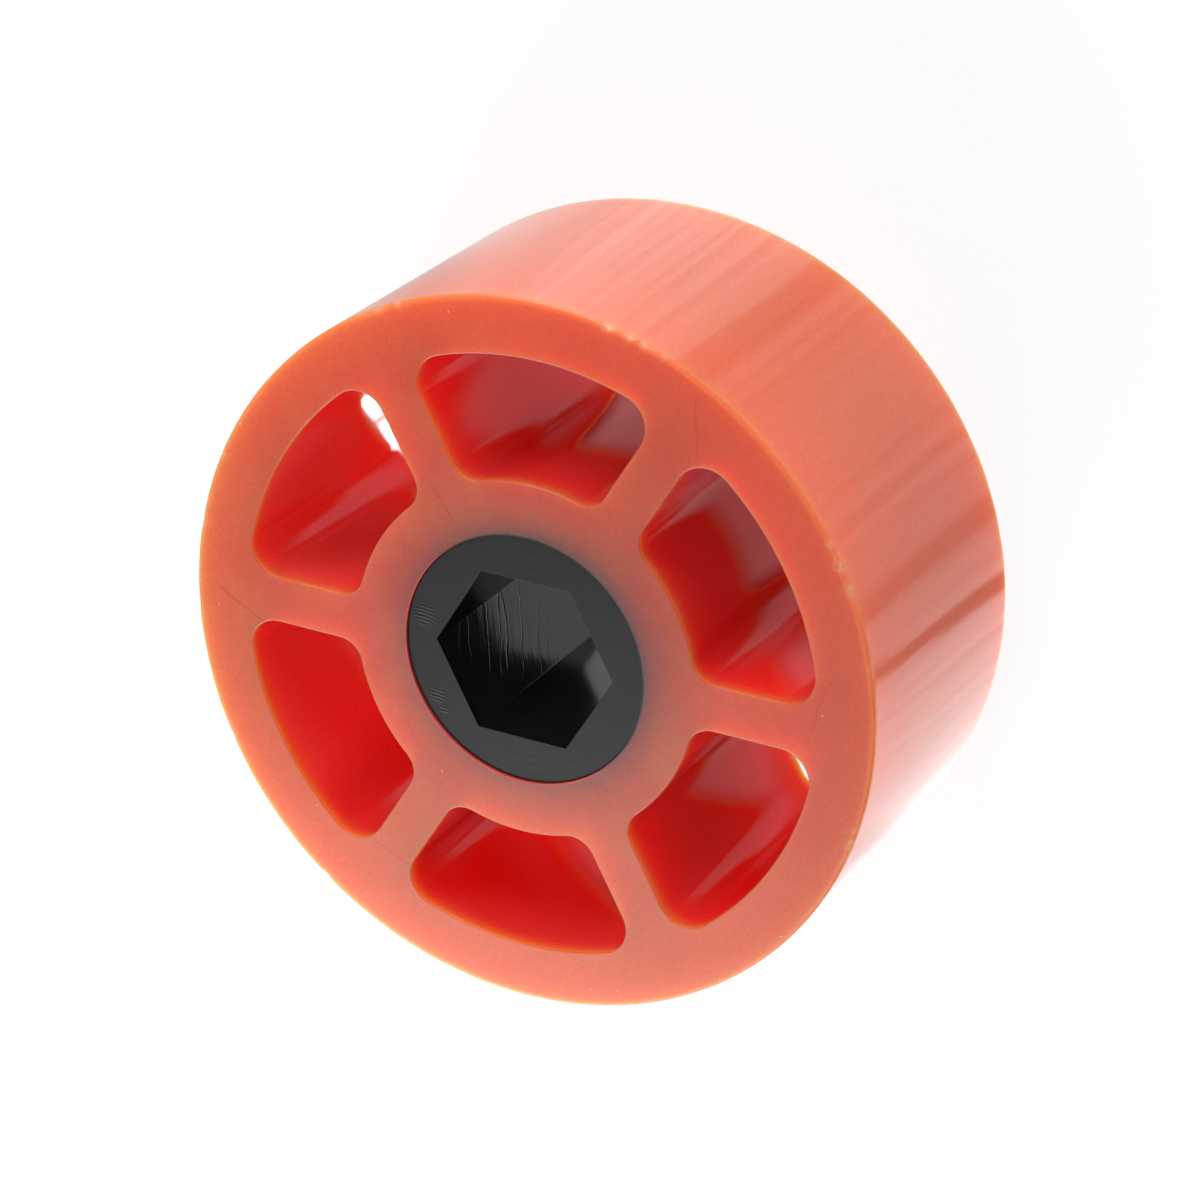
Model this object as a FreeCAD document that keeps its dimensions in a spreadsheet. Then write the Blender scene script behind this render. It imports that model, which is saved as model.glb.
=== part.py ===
import FreeCAD, Part
import math
import os
import Sketcher

# A compliant wheel: a soft moulded body with open cells, bonded round a hard hub with a hexagonal bore.
# The wheel lies on its end. Its axle axis is +Z, and the origin is on that axis, in the lower end face.
# Spokes and corners of the hexagon point the same way, and the first of each points along +X.

DRIVING_SIZES = (
    ("wheel_diameter", 57.15, "outside diameter of the tread"),
    ("wheel_width", 25.4, "from end face to end face of the wheel body"),
    ("rim_wall", 4.5, "wall between the tread and the cells"),
    ("core_wall", 4.3, "wall between the hub and the cells"),
    ("spoke_count", 6, "number of spokes, and of cells"),
    ("spoke_width", 3.7, "spokes are parallel-sided"),
    ("cell_rim_corner", 2.4, "corner radius of a cell next to the rim"),
    ("cell_core_corner", 2.0, "corner radius of a cell next to the core"),
    ("edge_round", 0.2, "rounding of the moulded edges at both end faces"),
    ("hub_diameter", 20.0, "outside of the hub, and the seat for it in the wheel body"),
    ("hub_recess", 0.2, "how far the hub's end faces lie below the wheel body's"),
    ("hex_across_flats", 12.9, "hexagonal bore, a slip fit on a half-inch hexagonal shaft"),
    ("hex_edge_break", 0.15, "chamfer at both mouths of the bore"),
)
FULL_TURN = 360.0
HEXAGON_SIDES = 6
MATCH = 1e-4

doc = FreeCAD.newDocument("compliant_wheel")
sizes = doc.addObject("Spreadsheet::Sheet", "Sizes")
for row, (alias, number, meaning) in enumerate(DRIVING_SIZES, start=1):
    sizes.set(f"A{row}", alias)
    sizes.set(f"B{row}", str(number))
    sizes.set(f"C{row}", meaning)
    sizes.setAlias(f"B{row}", alias)
doc.recompute()

CENTRE = FreeCAD.Vector(0, 0, 0)
AXLE = FreeCAD.Vector(0, 0, 1)
# A sketch constraint names a point of a curve by its index, and the sketch's own X axis by curve index -1.
START_INDEX, END_INDEX, MIDDLE_INDEX = 1, 2, 3
X_AXIS_INDEX = -1
ORIGIN_POINT = (X_AXIS_INDEX, START_INDEX)


def size(alias):
    """A driving size, as a plain number of millimetres or pieces."""
    return float(sizes.get(alias))


def origin_feature(body, role):
    """The named plane or axis of a body's own origin."""
    return next(item for item in body.Origin.OriginFeatures if item.Role == role)


def sketch_in(body, name):
    """An empty sketch in the plane of a body's lower end face."""
    sketch = body.newObject("Sketcher::SketchObject", name)
    sketch.AttachmentSupport = [(origin_feature(body, "XY_Plane"), "")]
    sketch.MapMode = "FlatFace"
    return sketch


def bind(sketch, kind, geometry, number, expression):
    """Add a dimension to a sketch and tie it to the driving sizes."""
    index = sketch.addConstraint(Sketcher.Constraint(kind, *geometry, number))
    sketch.setExpression(f"Constraints[{index}]", expression)


def centred_circle(sketch, diameter, expression):
    """A circle about the axle axis."""
    circle = sketch.addGeometry(Part.Circle(CENTRE, AXLE, diameter / 2))
    sketch.addConstraint(Sketcher.Constraint("Coincident", circle, MIDDLE_INDEX, *ORIGIN_POINT))
    bind(sketch, "Diameter", (circle,), diameter, expression)
    return circle


def pad_up(body, sketch, name, length_expression):
    """Extrude a sketch from the lower end face upwards."""
    pad = body.newObject("PartDesign::Pad", name)
    pad.Profile = sketch
    pad.setExpression("Length", length_expression)
    return pad


def pocket_through(body, sketch, name):
    """Cut a sketch upwards, right through the body."""
    pocket = body.newObject("PartDesign::Pocket", name)
    pocket.Profile = sketch
    pocket.Type = "ThroughAll"
    pocket.Reversed = True
    return pocket


def edge_names(feature, wanted):
    """Names of a feature's edges for which the test wanted(edge) is true."""
    return [f"Edge{number}" for number, edge in enumerate(feature.Shape.Edges, start=1) if wanted(edge)]


def reach(edge):
    """Distance of an edge's farthest end from the axle axis."""
    return max(math.hypot(vertex.X, vertex.Y) for vertex in edge.Vertexes)


def runs_along_axle(edge):
    return edge.BoundBox.XLength < MATCH and edge.BoundBox.YLength < MATCH


def lies_in_an_end_face(edge, width):
    box = edge.BoundBox
    return box.ZLength < MATCH and (abs(box.ZMin) < MATCH or abs(box.ZMin - width) < MATCH)


def round_edges(body, base, name, names, radius_expression):
    """Round the named edges of a feature."""
    fillet = body.newObject("PartDesign::Fillet", name)
    fillet.Base = (base, names)
    fillet.setExpression("Radius", radius_expression)
    doc.recompute()
    return fillet


def wheel_ring(body):
    """The plain ring, from the seat for the hub out to the tread."""
    outline = sketch_in(body, "ring_outline")
    centred_circle(outline, size("wheel_diameter"), "Sizes.wheel_diameter")
    centred_circle(outline, size("hub_diameter"), "Sizes.hub_diameter")
    return pad_up(body, outline, "ring", "Sizes.wheel_width")


def cell_outline(body):
    """One cell: two arcs about the axle axis, closed by the flanks of two neighbouring spokes."""
    half_spoke = size("spoke_width") / 2
    pitch = math.tau / size("spoke_count")
    core_radius = size("hub_diameter") / 2 + size("core_wall")
    rim_radius = size("wheel_diameter") / 2 - size("rim_wall")
    sketch = sketch_in(body, "cell_outline")

    def arc(radius):
        first = math.asin(half_spoke / radius)
        circle = Part.Circle(CENTRE, AXLE, radius)
        return sketch.addGeometry(Part.ArcOfCircle(circle, first, pitch - first))

    def flank(start_arc, end_arc, end):
        ends = [sketch.getPoint(curve, end) for curve in (start_arc, end_arc)]
        line = sketch.addGeometry(Part.LineSegment(*ends))
        sketch.addConstraint(Sketcher.Constraint("Coincident", line, START_INDEX, start_arc, end))
        sketch.addConstraint(Sketcher.Constraint("Coincident", line, END_INDEX, end_arc, end))
        bind(sketch, "Distance", (*ORIGIN_POINT, line), half_spoke, "Sizes.spoke_width / 2")
        return line

    core = arc(core_radius)
    rim = arc(rim_radius)
    for curve in (core, rim):
        sketch.addConstraint(Sketcher.Constraint("Coincident", curve, MIDDLE_INDEX, *ORIGIN_POINT))
    bind(sketch, "Radius", (core,), core_radius, "Sizes.hub_diameter / 2 + Sizes.core_wall")
    bind(sketch, "Radius", (rim,), rim_radius, "Sizes.wheel_diameter / 2 - Sizes.rim_wall")
    first_flank = flank(core, rim, START_INDEX)
    next_flank = flank(core, rim, END_INDEX)
    sketch.addConstraint(Sketcher.Constraint("Horizontal", first_flank))
    turn = f"{FULL_TURN} deg / Sizes.spoke_count"
    bind(sketch, "Angle", (X_AXIS_INDEX, START_INDEX, next_flank, START_INDEX), pitch, turn)
    return sketch


def make_wheel_body():
    """The soft body: a ring with one cell cut through it, repeated round the axle, and rounded edges."""
    body = doc.addObject("PartDesign::Body", "wheel_body")
    body.Label = "wheel_body"
    ring = wheel_ring(body)
    doc.recompute()
    cell = pocket_through(body, cell_outline(body), "cell")
    doc.recompute()
    assert cell.Shape.Volume < ring.Shape.Volume - MATCH, "the cell cuts nothing"

    cells = body.newObject("PartDesign::PolarPattern", "cells")
    cells.Originals = [cell]
    cells.Axis = (origin_feature(body, "Z_Axis"), [""])
    cells.Angle = FULL_TURN
    cells.setExpression("Occurrences", "Sizes.spoke_count")
    body.Tip = cells
    doc.recompute()

    seat_radius = size("hub_diameter") / 2
    core_radius = seat_radius + size("core_wall")
    rim_radius = size("wheel_diameter") / 2 - size("rim_wall")

    def corner_at(radius):
        return lambda edge: runs_along_axle(edge) and abs(reach(edge) - radius) < MATCH

    def sharp_end_edge(edge):
        return lies_in_an_end_face(edge, size("wheel_width")) and reach(edge) > seat_radius + MATCH

    by_the_rim = edge_names(cells, corner_at(rim_radius))
    rim_corners = round_edges(body, cells, "rim_corners", by_the_rim, "Sizes.cell_rim_corner")
    by_the_core = edge_names(rim_corners, corner_at(core_radius))
    core_corners = round_edges(body, rim_corners, "core_corners", by_the_core, "Sizes.cell_core_corner")
    at_the_ends = edge_names(core_corners, sharp_end_edge)
    body.Tip = round_edges(body, core_corners, "end_edges", at_the_ends, "Sizes.edge_round")
    return body


def hexagon(body):
    """A regular hexagon about the axle axis, with one corner on the X axis."""
    corner_radius = size("hex_across_flats") / (2 * math.cos(math.pi / HEXAGON_SIDES))
    sketch = sketch_in(body, "bore_outline")
    across_corners = f"Sizes.hex_across_flats / cos({FULL_TURN / 2} deg / {HEXAGON_SIDES})"
    through_corners = centred_circle(sketch, 2 * corner_radius, across_corners)
    sketch.setConstruction(through_corners, True)
    turns = [math.tau * k / HEXAGON_SIDES for k in range(HEXAGON_SIDES)]
    corners = [corner_radius * FreeCAD.Vector(math.cos(turn), math.sin(turn), 0) for turn in turns]
    ends = zip(corners, corners[1:] + corners[:1])
    sides = [sketch.addGeometry(Part.LineSegment(start, end)) for start, end in ends]
    for side, following in zip(sides, sides[1:] + sides[:1]):
        sketch.addConstraint(Sketcher.Constraint("Coincident", side, END_INDEX, following, START_INDEX))
        sketch.addConstraint(Sketcher.Constraint("PointOnObject", side, START_INDEX, through_corners))
        if following != sides[0]:
            sketch.addConstraint(Sketcher.Constraint("Equal", side, following))
    sketch.addConstraint(Sketcher.Constraint("PointOnObject", sides[0], START_INDEX, X_AXIS_INDEX))
    return sketch


def make_hex_hub():
    """The hard hub: a round bar that fills the seat, with the hexagonal bore through it."""
    body = doc.addObject("PartDesign::Body", "hex_hub")
    body.Label = "hex_hub"
    body.setExpression("Placement.Base.z", "Sizes.hub_recess")
    outline = sketch_in(body, "hub_outline")
    centred_circle(outline, size("hub_diameter"), "Sizes.hub_diameter")
    barrel = pad_up(body, outline, "barrel", "Sizes.wheel_width - 2 * Sizes.hub_recess")
    doc.recompute()
    bore = pocket_through(body, hexagon(body), "bore")
    doc.recompute()
    assert bore.Shape.Volume < barrel.Shape.Volume - MATCH, "the bore cuts nothing"

    length = size("wheel_width") - 2 * size("hub_recess")

    def mouth_edge(edge):
        return lies_in_an_end_face(edge, length) and isinstance(edge.Curve, Part.Line)

    mouth_chamfer = body.newObject("PartDesign::Chamfer", "mouth_chamfer")
    mouth_chamfer.Base = (bore, edge_names(bore, mouth_edge))
    mouth_chamfer.setExpression("Size", "Sizes.hex_edge_break")
    body.Tip = mouth_chamfer
    doc.recompute()
    return body


pieces = [make_wheel_body(), make_hex_hub()]
doc.recompute()

for item in doc.Objects:
    assert "Invalid" not in item.State and "Error" not in item.State, f"{item.Label}: {item.State}"
for piece in pieces:
    shape = piece.Shape
    assert not shape.isNull() and shape.isValid(), f"{piece.Label} has no valid shape"

os.makedirs("parts", exist_ok=True)
for piece in pieces:
    piece.Shape.exportStep(f"parts/{piece.Label}.step")
    box = piece.Shape.BoundBox
    print(f"{piece.Label}: {piece.Shape.Volume:.1f} mm3, z {box.ZMin:.3f} to {box.ZMax:.3f} mm")
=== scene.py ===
import math

import bmesh
import bpy
import numpy as np
from mathutils import Matrix, Vector


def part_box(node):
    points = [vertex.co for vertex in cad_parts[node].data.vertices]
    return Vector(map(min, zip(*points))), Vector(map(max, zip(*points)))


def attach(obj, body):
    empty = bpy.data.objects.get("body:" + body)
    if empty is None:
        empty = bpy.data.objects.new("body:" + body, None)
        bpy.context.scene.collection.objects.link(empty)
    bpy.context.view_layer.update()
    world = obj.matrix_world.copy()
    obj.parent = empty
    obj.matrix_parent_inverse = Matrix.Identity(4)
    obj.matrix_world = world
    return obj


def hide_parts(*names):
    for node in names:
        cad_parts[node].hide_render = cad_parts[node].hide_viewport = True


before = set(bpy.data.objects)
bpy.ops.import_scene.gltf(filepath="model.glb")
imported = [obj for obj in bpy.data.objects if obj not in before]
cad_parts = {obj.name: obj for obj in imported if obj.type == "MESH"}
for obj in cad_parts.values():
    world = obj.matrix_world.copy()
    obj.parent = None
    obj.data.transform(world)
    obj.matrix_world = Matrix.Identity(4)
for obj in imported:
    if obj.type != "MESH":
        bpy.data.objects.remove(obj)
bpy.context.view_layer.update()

# Wheel body: one moulding of soft, translucent orange elastomer. Tread ring, six spokes and core ring are
# one piece with six open cells between them, moulded round the hub and trimmed along its outer edges.

body_low, body_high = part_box("wheel_body")
hub_low, hub_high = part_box("hex_hub")
TREAD_RADIUS = body_high.x
BODY_TOP = body_high.z
SEAT_RADIUS = hub_high.x
SPOKES = 6
PITCH = math.tau / SPOKES
HALF_PITCH = PITCH / 2
RIM_WALL = 0.0045
CORE_WALL = 0.0043
HALF_SPOKE = 0.00185
RIM_CORNER = 0.0024
CORE_CORNER = 0.0020
CELL_LIP = 0.00010
BACK_FEET = (0.00035, 0.00035, 0.00002, 0.00035, 0.00035, 0.00035)
BACK_FOOT_HEIGHT = 0.0007
BACK_FOOT_ROWS = (0.0022, 0.0016, 0.0012, 0.0009, 0.0007, 0.0005, 0.0003, 0.0002)
EDGE_ROUND = 0.00018
EDGE_WANDER = 0.00003
WANDER_WAVES = np.arange(3, 60, 4)
UPPER_SEED, LOWER_SEED = 11, 29
UPPER_NICKS = (
    # angle in degrees, half width in degrees, depth
    (117, 2.6, 0.00022),
    (112.5, 1.0, 0.00018),
    (78, 1.6, 0.00030),
    (73, 2.4, 0.00026),
    (68.5, 0.8, 0.00024),
    (31, 0.9, 0.00045),
    (28.6, 0.8, 0.00040),
    (25, 1.6, 0.00030),
    (12.5, 0.7, 0.00018),
    (-17, 3.0, 0.00018),
    (157.7, 0.8, 0.00020),
    (170, 1.0, 0.00020),
    (206.5, 0.8, 0.00025),
    (233.5, 1.2, 0.00020),
)
LOWER_NICKS = (
    (205, 2.0, 0.00025),
    (300, 3.0, 0.00020),
    (262, 1.5, 0.00030),
)
TEAR_WAVES = np.arange(60, 200, 7)
TEAR_SEED = 5
RAGGED_WAVES = np.arange(40, 210, 9)
RAGGED_SEED = 40
RAGGED_SHARE = 0.6
LIP_FLAKES = (
    # x and y on a cell's upper lip, reach
    (0.0215, 0.0094, 0.00016),
    (0.0222, 0.0073, 0.00013),
)
RIM_STEPS, RIM_CORNER_STEPS, FLANK_STEPS, CORE_CORNER_STEPS, CORE_STEPS = 69, 12, 20, 10, 20
FACE_SHARES = (0, 0.004, 0.02, 0.06, 0.15, 0.35, 0.6, 0.8, 0.93, 0.98, 0.996, 1)
ROUND_STEPS = 5
QUARTER_ROUND = np.linspace(0, math.pi / 2, ROUND_STEPS + 1)
WALL_ROWS = 7
WALL_END_ROW = 0.0008
WALL_MARGIN = 0.00003
TREAD_EDGE_ROOM = 0.0006
SHARP_ANGLE = math.radians(50)
MERGE_DISTANCE = 1e-6

# Colours of the elastomer, painted light and shade among them, and the sides and reaches over which they
# go into each other.
FACE_COLOUR = (0.57, 0.087, 0.046)
FACE_TINT = (0.60, 0.126, 0.056)
LOW_PAINTED_LIGHT = (0.60, 0.105, 0.022)
RIGHT_PAINTED_SHADE = (0.45, 0.085, 0.042)
RIM_PAINTED_GLOW = (0.64, 0.098, 0.034)
PEACH_PAINTED_GLOW = (0.66, 0.150, 0.034)
TREAD_COLOUR = (0.96, 0.150, 0.050)
CELL_COLOUR = (0.94, 0.022, 0.020)
CELL_PAINTED_SHADE = (0.72, 0.032, 0.030)
CELL_LEFT_PAINTED_LIGHT = (0.84, 0.075, 0.068)
CELL_LOW_PAINTED_SHADE = (0.62, 0.030, 0.030)
CELL_DEEP_PAINTED_LIGHT = (0.99, 0.030, 0.030)
CELL_RIGHT_PAINTED_SHADE = (0.86, 0.024, 0.024)
HUB_PAINTED_SHADE = (0.28, 0.052, 0.070)
SEAT_PAINTED_SHADE = (0.62, 0.060, 0.045)
SEAM_PAINTED_SHADOW = (0.020, 0.012, 0.012)
LIP_PAINTED_GLOW = (0.95, 0.240, 0.050)
LIT_LIP_PAINTED_SHADE = (0.62, 0.105, 0.060)
EDGE_PAINTED_GLOW = (0.98, 0.300, 0.110)
KNIT_COLOUR = (0.50, 0.050, 0.035)
SPECK_COLOUR = (0.85, 0.340, 0.240)
TORN_COLOUR = (0.96, 0.460, 0.290)
VIEW_AZIMUTH = 46.2
VIEW_TURN = math.radians(VIEW_AZIMUTH)
LIGHT_SIDE = (-0.77, -0.64, 0)
LIGHT_LINE = (0.6 / TREAD_RADIUS, 0.5)
LOW_SIDE = (-0.139, -0.990, 0)
LEFT_SIDE = (-0.94, -0.34, 0)
RIGHT_SIDE = (0.87, 0.50, 0)
SHADE_SIDE = (0.64, 0.77, 0)
SHADE_LINE = (18, 0.62)
SEAM_SHADOW_SIDE = (0.69, 0.72, 0)
MOTTLE_FADE = (0.65, 0.35)
LOW_FADE = (0.020, 0.002)
LOW_SHARE = 0.7
RIGHT_FADE = (0.018, 0.007)
RIGHT_SHARE = 0.6
RIM_GLOW_REACH = 0.004
RIM_GLOW_SHARE = 0.8
TREAD_FADE = (0.0001, 0.0006)
CELL_GLOW = 0.0014
CELL_WALL_FADE = (0.004, 0.002)
CELL_LEFT_FADE = (0.018, 0.010)
CELL_LOW_FADE = (0.0195, 0.0165)
CELL_DEEP_FADE = (0.004, 0.014)
CELL_RIGHT_FADE = (0.017, 0.012)
HUB_SHADE_REACH = 0.0017
SEAM_FADE = (0.00007, 0.00018)
SEAM_SHADOW_SIDE_FADE = (0.004, -0.004)
LIP_REACH = 0.00014
LIP_GLOW = 0.0006
LIP_SHARE = 0.8
BACK_LIP_GLOW = 0.0016
CORE_LIP_FADE = (0.002, 0.001)
EDGE_GLOW = 0.0007
EDGE_LINE = (0.45 / TREAD_RADIUS, 0.55)
TOP_FADE = (0.0001, 0.0003)
TORN_DEPTH = 0.0003
TORN_REACH = 0.0004
KNIT_LINES = (
    # x and y of the start, direction in degrees, length
    (-0.0084, 0.0134, -52.0, 0.0050),
    (0.0134, 0.0235, -87.5, 0.0046),
    (-0.0269, 0.0004, -33.4, 0.0056),
    (-0.0128, -0.0183, -23.4, 0.0048),
    (0.0230, -0.0012, 73.4, 0.0059),
)
KNIT_HALF_WIDTH = 0.00014
KNIT_BOW = 0.0016
KNIT_SHARE = 0.5
MOTTLE_SIZE = 0.006
GRAIN_SIZE = 0.00022
GRAIN_TONE = (0.3, 0.85)
GRAIN_DEPTH = (-0.07, 0.08)
SPECKS_PER_METRE = 450
SPECK_FADE = (0.02, 0.045)
SPECKS_LEFT_OUT = 0.965
STREAK_WIDTH = 0.0016
STREAK_STRETCH = (1, 1, 0.05)
STREAK_LOSS_ON_TOP, STREAK_LOSS_INSIDE = 0.85, 0.7
SATIN, POLISHED = 0.27, 0.10
ELASTOMER_GLOSS = 0.56
GLOW_DEPTHS = (1.0, 0.15, 0.07)
GLOW_DEPTH_SCALE = 0.02
ELASTOMER_RELIEF = 0.00004


def polar(radius, angle):
    """Points at a radius and an angle about the axle: x = r cos a, y = r sin a."""
    return np.stack([radius * np.cos(angle), radius * np.sin(angle)], -1)


def steps(start, stop, count):
    """Evenly spaced values after start, up to and including stop."""
    return np.linspace(start, stop, count + 1)[1:]


def cell_outline(grow):
    """One cell about +X, grown by a distance into the wall, as a closed loop of points.

    Half of it, from the middle of the rim arc to the middle of the core arc, is centre plus radius
    times the normal's direction: the rim arc, a corner arc, the straight flank at half a spoke's width
    from the spoke's axis, the other corner arc and the core arc. The other half mirrors it in the X axis.
    """
    rim = TREAD_RADIUS - RIM_WALL
    core = SEAT_RADIUS + CORE_WALL
    flank_normal = HALF_PITCH + math.pi / 2
    rim_turn = HALF_PITCH - math.asin((HALF_SPOKE + RIM_CORNER) / (rim - RIM_CORNER))
    core_turn = HALF_PITCH - math.asin((HALF_SPOKE + CORE_CORNER) / (core + CORE_CORNER))
    rim_centre = polar(rim - RIM_CORNER, rim_turn)
    core_centre = polar(core + CORE_CORNER, core_turn)
    rim_arc = polar(rim + grow, np.linspace(0, rim_turn, RIM_STEPS + 1))
    rim_corner = rim_centre + polar(RIM_CORNER + grow, steps(rim_turn, flank_normal, RIM_CORNER_STEPS))
    flank_end = core_centre + polar(CORE_CORNER + grow, flank_normal)
    along = steps(0, 1, FLANK_STEPS)[:, None]
    flank = rim_corner[-1] * (1 - along) + flank_end * along
    corner_turns = steps(flank_normal, math.pi + core_turn, CORE_CORNER_STEPS)
    core_corner = core_centre + polar(CORE_CORNER + grow, corner_turns)
    core_arc = polar(core - grow, steps(core_turn, 0, CORE_STEPS))
    half = np.concatenate([rim_arc, rim_corner, flank, core_corner, core_arc])
    return np.concatenate([half, half[-2:0:-1] * [1, -1]])


def ripple(angle, waves, seed):
    """A smooth unevenness round the wheel, about -1 to 1: cosines of whole wave numbers, random in phase."""
    draw = np.random.default_rng(seed)
    phases = draw.uniform(0, math.tau, len(waves))
    heights = draw.normal(0, 1, len(waves))
    sum_of_waves = (heights * np.cos(np.multiply.outer(angle, waves) + phases)).sum(-1)
    return sum_of_waves / np.sqrt((heights**2).sum())


def nick_depth(angle, nicks):
    """Depth of the nicks where flash tore off.

    Each is a bell, depth times exp(-(angle off its middle / half width)^2). It is broken up by a factor,
    0.55 plus 0.6 times a fine ripple.
    """
    torn = np.clip(0.55 + 0.6 * ripple(angle, TEAR_WAVES, TEAR_SEED), 0, 1.2)
    depth = np.zeros_like(angle)
    for middle, half_width, deepest in nicks:
        off = (angle - math.radians(middle) + math.pi) % math.tau - math.pi
        depth = np.maximum(depth, deepest * np.exp(-((off / math.radians(half_width)) ** 2)))
    return depth * torn


def trim_round(angle, nicks, seed):
    """Radius of a trimmed outer edge: a fine line that wanders a little, plus the nicks."""
    return EDGE_ROUND + EDGE_WANDER * ripple(angle, WANDER_WAVES, seed) + nick_depth(angle, nicks)


def upper_trim(angle):
    """Radius of the upper outer edge: trim_round with the upper nicks."""
    return trim_round(angle, UPPER_NICKS, UPPER_SEED)


def lower_trim(angle):
    """Radius of the lower outer edge: trim_round with the lower nicks."""
    return trim_round(angle, LOWER_NICKS, LOWER_SEED)


def sector_border(trim):
    """Borders of the six sixths of an end face: tread arc, spoke's middle, seat arc, spoke's middle again.

    Their points pair with those of cell_outline, so that straight lines between the two cover the face.
    The radius goes from the trimmed tread's to the seat's as the border runs down the spoke's middle.
    """
    corner_half = RIM_CORNER_STEPS // 2
    core_half = CORE_CORNER_STEPS // 2
    rim_count = RIM_STEPS + corner_half
    flank_count = corner_half + FLANK_STEPS + core_half
    core_count = core_half + CORE_STEPS
    tread_angle = np.linspace(0, HALF_PITCH, rim_count + 1)
    spoke_angle = np.full(flank_count, HALF_PITCH)
    angle = np.concatenate([tread_angle, spoke_angle, steps(HALF_PITCH, 0, core_count)])
    angle = np.concatenate([angle, -angle[-2:0:-1]])
    turned = angle + PITCH * (np.arange(SPOKES)[:, None] + 0.5)
    rim = TREAD_RADIUS - trim(turned)
    share = np.concatenate([np.zeros(rim_count + 1), steps(0, 1, flank_count), np.ones(core_count)])
    share = np.concatenate([share, share[-2:0:-1]])
    return polar(rim * (1 - share) + SEAT_RADIUS * share, turned)


def ring_quads(rows, columns):
    """Corner numbers of a grid's quads, row by row, with its last column joined to its first."""
    row, column = np.meshgrid(np.arange(rows - 1), np.arange(columns), indexing="ij")
    here = row * columns + column
    right = row * columns + (column + 1) % columns
    return np.stack([here, right, right + columns, here + columns], -1).reshape(-1, 4)


def closed_piece(name, grids):
    """One closed mesh from grids of points, rows by columns by 3, each closed along its columns.

    The grids are merged where they meet, and their faces turned outwards.
    """
    points, quads, start = [], [], 0
    for grid in grids:
        rows, columns, _ = grid.shape
        points.append(grid.reshape(-1, 3))
        quads.append(ring_quads(rows, columns) + start)
        start += rows * columns
    mesh = bpy.data.meshes.new(name)
    mesh.from_pydata(np.concatenate(points), [], np.concatenate(quads))
    shape = bmesh.new()
    shape.from_mesh(mesh)
    bmesh.ops.remove_doubles(shape, verts=shape.verts, dist=MERGE_DISTANCE)
    bmesh.ops.recalc_face_normals(shape, faces=shape.faces)
    shape.to_mesh(mesh)
    shape.free()
    mesh.polygons.foreach_set("use_smooth", np.ones(len(mesh.polygons), bool))
    mesh.set_sharp_from_angle(angle=SHARP_ANGLE)
    piece = bpy.data.objects.new(name, mesh)
    bpy.context.scene.collection.objects.link(piece)
    return piece


def at_height(points, height):
    """Plane points lifted to a height."""
    return np.concatenate([points, np.broadcast_to(height, points.shape[:-1])[..., None]], -1)


def face_rows(inner, outer, shares, height):
    """An end face between two paired loops, as rows of points at the given shares of the way across."""
    across = np.asarray(shares)[:, None, None]
    return at_height(inner * (1 - across) + outer * across, height)


def wall_heights(lip):
    """Heights of a wall's rows, from below its upper lip to above its lower one, evenly spaced between."""
    from_end = lip + WALL_MARGIN
    inner = np.linspace(from_end + WALL_END_ROW, BODY_TOP - from_end - WALL_END_ROW, WALL_ROWS)
    return np.concatenate([[BODY_TOP - from_end], inner[::-1], [from_end]])


def cell_wall_rows(foot):
    """A cell's wall: the outline carried through the body, with a quarter-round lip at each end.

    Towards the lower end the wall swells into the cell: by the foot's width times exp(-(z / its height)^2).
    """
    upper = [at_height(cell_outline(CELL_LIP * (1 - math.sin(a))), BODY_TOP - CELL_LIP * (1 - math.cos(a)))
             for a in QUARTER_ROUND]
    heights = np.concatenate([wall_heights(CELL_LIP)[:-2], BACK_FOOT_ROWS])
    plain = [at_height(cell_outline(-foot * math.exp(-((z / BACK_FOOT_HEIGHT) ** 2))), z) for z in heights]
    lower = [at_height(cell_outline(CELL_LIP * (1 - math.sin(a)) - foot), CELL_LIP * (1 - math.cos(a)))
             for a in QUARTER_ROUND[::-1]]
    return np.stack(upper + plain + lower)


def turn_about_axle(rows, turn):
    """Rows of points, turned about the axle: x cos t - y sin t, x sin t + y cos t, z."""
    x, y, z = rows[..., 0], rows[..., 1], rows[..., 2]
    cosine, sine = math.cos(turn), math.sin(turn)
    return np.stack([x * cosine - y * sine, x * sine + y * cosine, z], -1)


def tread_rows():
    """The tread, turned about the axle: a quarter-round trimmed edge, the plain tread, and the other edge.

    Within the nicks the upper edge's rows dip by a ripple of their own times the nick's depth.
    """
    columns = 2 * SPOKES * (RIM_STEPS + RIM_CORNER_STEPS // 2)
    angle = np.arange(columns) * math.tau / columns
    above = upper_trim(angle)
    below = lower_trim(angle)
    uneven = np.stack([ripple(angle, RAGGED_WAVES, RAGGED_SEED + row) for row in range(len(QUARTER_ROUND))])
    ragged = np.clip(uneven, 0, 1) * RAGGED_SHARE * nick_depth(angle, UPPER_NICKS)
    ragged[[0, -1]] = 0
    upper = [at_height(polar(TREAD_RADIUS - above * (1 - math.sin(a)) - dip, angle),
                       BODY_TOP - above * (1 - math.cos(a)))
             for a, dip in zip(QUARTER_ROUND, ragged)]
    plain = [at_height(polar(TREAD_RADIUS, angle), z) for z in wall_heights(TREAD_EDGE_ROOM)]
    lower = [at_height(polar(TREAD_RADIUS - below * (1 - math.sin(a)), angle), below * (1 - math.cos(a)))
             for a in QUARTER_ROUND[::-1]]
    return np.stack(upper + plain + lower)


def seat_rows():
    """The bore that the hub fills: a plain cylinder with sharp mouths."""
    columns = 2 * SPOKES * (CORE_STEPS + CORE_CORNER_STEPS // 2)
    angle = np.arange(columns) * math.tau / columns
    return np.stack([at_height(polar(SEAT_RADIUS, angle), z) for z in (BODY_TOP, *wall_heights(0), 0.0)])


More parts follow.
